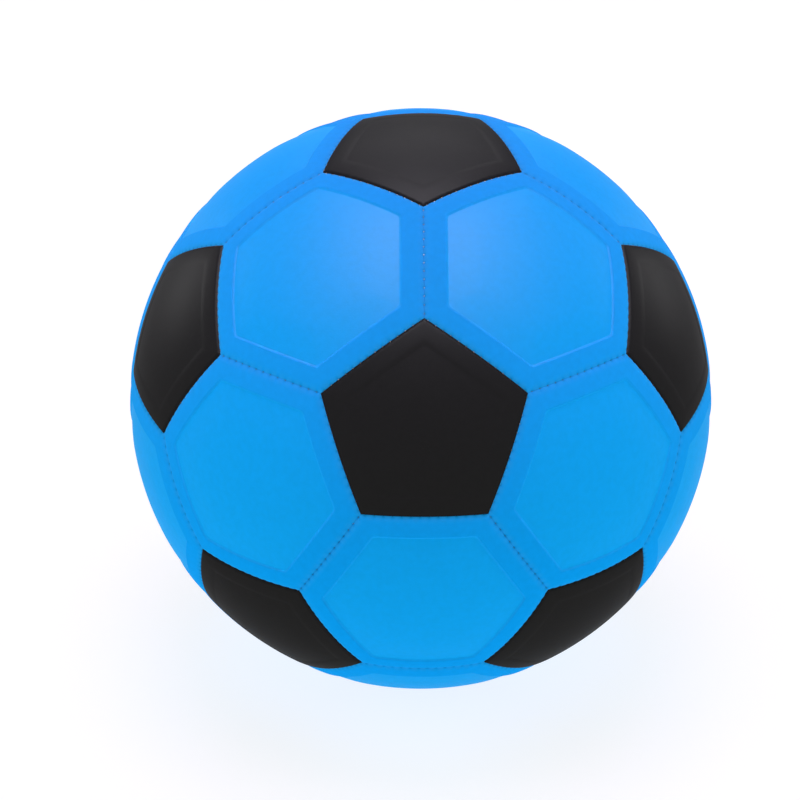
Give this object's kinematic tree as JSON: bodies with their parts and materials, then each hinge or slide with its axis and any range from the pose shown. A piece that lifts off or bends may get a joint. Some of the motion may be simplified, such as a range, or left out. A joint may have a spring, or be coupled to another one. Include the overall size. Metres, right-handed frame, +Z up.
{
  "type": "soccer training ball",
  "caption": "Stitched soccer training ball: blue hexagon and black pentagon padded panels with pressed fields, sewn round an inflated bladder with a needle valve.",
  "frame": {"origin": "centre of the ball", "axes": "+Z up through the middle of the top pentagon, with the ball standing on the bottom one; -Y is the front, where a pentagon of the upper row faces; the valve is at the back"},
  "size_m": [0.2052, 0.2052, 0.2053],
  "materials": {
    "cover_blue": "satin",
    "cover_black": "satin",
    "thread": "matte",
    "bladder": "matte",
    "valve": "satin",
    "valve_plug": "satin"
  },
  "bodies": {
    "root": {"pentagon_top": "cover_black", "pentagon_bottom": "cover_black", "pentagon_upper_1": "cover_black", "pentagon_upper_2": "cover_black", "pentagon_upper_3": "cover_black", "pentagon_upper_4": "cover_black", "pentagon_upper_5": "cover_black", "pentagon_lower_1": "cover_black", "pentagon_lower_2": "cover_black", "pentagon_lower_3": "cover_black", "pentagon_lower_4": "cover_black", "pentagon_lower_5": "cover_black", "hexagon_crown_1": "cover_blue", "hexagon_crown_2": "cover_blue", "hexagon_crown_3": "cover_blue", "hexagon_crown_4": "cover_blue", "hexagon_crown_5": "cover_blue", "hexagon_upper_1": "cover_blue", "hexagon_upper_2": "cover_blue", "hexagon_upper_3": "cover_blue", "hexagon_upper_4": "cover_blue", "hexagon_upper_5": "cover_blue", "hexagon_lower_1": "cover_blue", "hexagon_lower_2": "cover_blue", "hexagon_lower_3": "cover_blue", "hexagon_lower_4": "cover_blue", "hexagon_lower_5": "cover_blue", "hexagon_base_1": "cover_blue", "hexagon_base_2": "cover_blue", "hexagon_base_3": "cover_blue", "hexagon_base_4": "cover_blue", "hexagon_base_5": "cover_blue", "seam_thread": "thread", "bladder": "bladder", "valve_body": "valve", "valve_plug": "valve_plug"}
  },
  "joints": []
}
